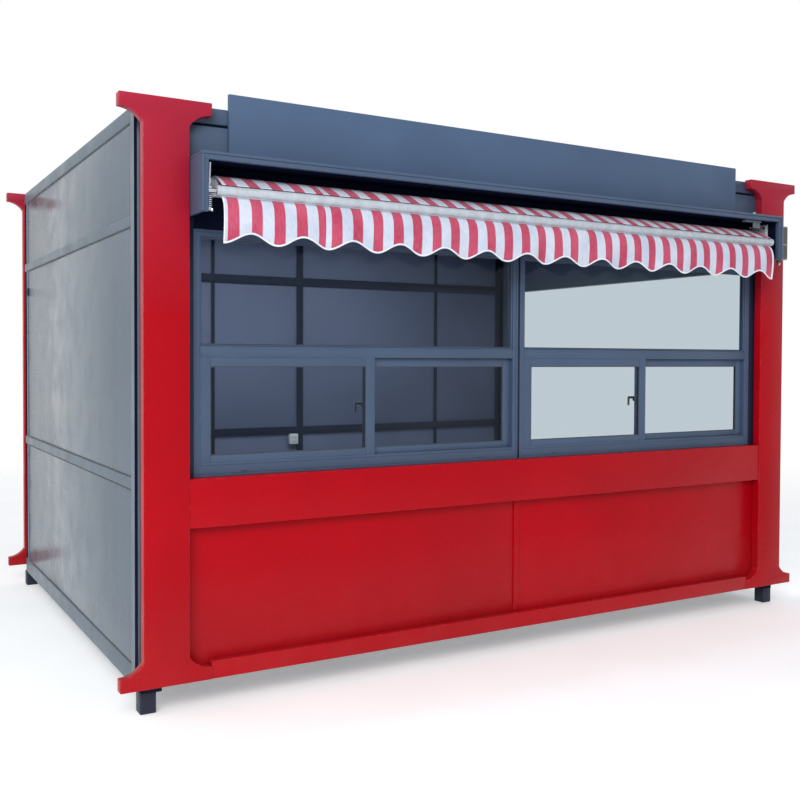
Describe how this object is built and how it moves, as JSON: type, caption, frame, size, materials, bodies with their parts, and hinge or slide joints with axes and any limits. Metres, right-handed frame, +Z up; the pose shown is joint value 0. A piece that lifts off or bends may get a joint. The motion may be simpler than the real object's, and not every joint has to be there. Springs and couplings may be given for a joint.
{
  "type": "portable canteen cabin",
  "caption": "Portable canteen cabin with a red front, shaped corner columns, two sliding window units, a plain sign board and a striped awning in its hood.",
  "frame": {"origin": "centre of the footprint on the ground", "axes": "+X to the right along the front, +Y into the cabin, so the front faces -Y, +Z up"},
  "size_m": [4.21, 3.095, 2.682],
  "materials": {
    "navy_steel": "satin navy paint",
    "slate_steel": "satin slate blue paint",
    "grey_sheet": "glossy grey coated sheet",
    "red_sheet": "glossy red coated sheet",
    "slate_aluminium": "powder coated slate blue",
    "white_metal": "white powder coat",
    "striped_cloth": "woven acrylic in red and white stripes",
    "window_glass": "clear float glass",
    "white_plastic": "matt white plastic",
    "floor_sheet": "grey floor covering on plywood"
  },
  "bodies": {
    "root": {"feet": "navy_steel", "base_frame": "navy_steel", "floor_panel": "floor_sheet", "corner_posts": "navy_steel", "front_jambs": "navy_steel", "column_front_left": "red_sheet", "column_front_right": "red_sheet", "column_rear_left": "red_sheet", "column_rear_right": "red_sheet", "front_top_beam": "slate_steel", "rear_top_beam": "slate_steel", "left_wall_frame": "grey_sheet", "left_wall_panels": "grey_sheet", "right_wall_frame": "grey_sheet", "right_wall_panel": "grey_sheet", "rear_wall_frame": "grey_sheet", "rear_wall_panels": "grey_sheet", "rear_studs": "navy_steel", "wall_socket": "white_plastic", "roof_panel": "grey_sheet", "front_header": "navy_steel", "fascia_panel": "slate_steel", "sign_board": "slate_steel", "sign_battens": "navy_steel", "hood_top_panel": "slate_steel", "hood_end_left": "slate_steel", "hood_end_right": "slate_steel", "awning_brackets": "white_metal", "awning_roller": "white_metal", "awning_arms": "white_metal", "awning_front_bar": "white_metal", "awning_canopy": "striped_cloth", "awning_valance": "striped_cloth", "awning_gearbox": "navy_steel", "front_lower_wall": "grey_sheet", "front_rail": "red_sheet", "apron_panels": "red_sheet", "apron_strip": "red_sheet", "bottom_rail": "red_sheet", "mullion_bar": "navy_steel", "window_frame_left": "slate_aluminium", "window_frame_right": "slate_aluminium", "outer_sashes": "slate_aluminium", "inner_sashes": "slate_aluminium", "window_glass": "window_glass"}
  },
  "joints": []
}
